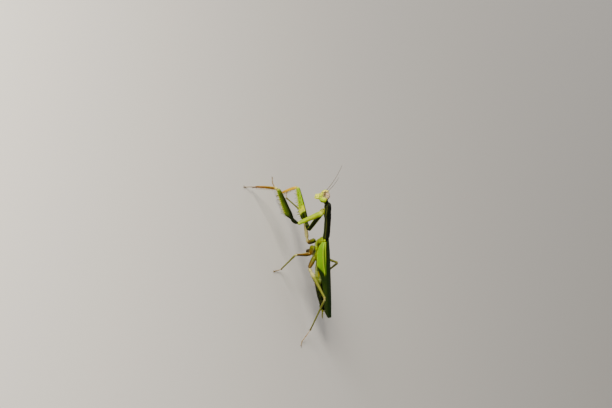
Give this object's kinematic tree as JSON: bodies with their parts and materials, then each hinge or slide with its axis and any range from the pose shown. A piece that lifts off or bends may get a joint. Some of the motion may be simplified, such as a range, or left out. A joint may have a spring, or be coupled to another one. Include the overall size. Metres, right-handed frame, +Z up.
{
  "type": "praying mantis",
  "caption": "Life-size praying mantis, walking with raised head: long pronotum, folded wings, spined front legs and long walking legs.",
  "frame": {"origin": "middle of the box round the model, on the floor that the feet stand on", "axes": "+Z up, -Y the way the mantis faces, +X its left side"},
  "size_m": [0.0538, 0.0874, 0.0425],
  "materials": {
    "head_cuticle": "satin, pale yellow-green",
    "eye": "glossy compound eye",
    "antenna": "matt brown",
    "pronotum": "satin green with paler margins",
    "body_cuticle": "satin pale green",
    "tegmen": "leathery green with pale veins",
    "hindwing": "smoky membrane",
    "leg_cuticle": "satin lime green",
    "shin": "satin yellow to red-brown",
    "tarsus": "satin grey-brown"
  },
  "bodies": {
    "root": {"abdomen": "body_cuticle", "antenna_left": "antenna", "antenna_right": "antenna", "cercus_left": "body_cuticle", "cercus_right": "body_cuticle", "coxa_front_left": "leg_cuticle", "coxa_front_right": "leg_cuticle", "coxa_hind_left": "leg_cuticle", "coxa_hind_right": "leg_cuticle", "coxa_middle_left": "leg_cuticle", "coxa_middle_right": "leg_cuticle", "eye_left": "eye", "eye_right": "eye", "femur_front_left": "leg_cuticle", "femur_front_right": "leg_cuticle", "femur_hind_left": "leg_cuticle", "femur_hind_right": "leg_cuticle", "femur_middle_left": "leg_cuticle", "femur_middle_right": "leg_cuticle", "head": "head_cuticle", "hindwing_left": "hindwing", "hindwing_right": "hindwing", "neck": "body_cuticle", "pronotum": "pronotum", "pterothorax": "body_cuticle", "tarsus_front_left": "tarsus", "tarsus_front_right": "tarsus", "tarsus_hind_left": "tarsus", "tarsus_hind_right": "tarsus", "tarsus_middle_left": "tarsus", "tarsus_middle_right": "tarsus", "tegmen_left": "tegmen", "tegmen_right": "tegmen", "tibia_front_left": "shin", "tibia_front_right": "shin", "tibia_hind_left": "leg_cuticle", "tibia_hind_right": "leg_cuticle", "tibia_middle_left": "leg_cuticle", "tibia_middle_right": "leg_cuticle"}
  },
  "joints": []
}
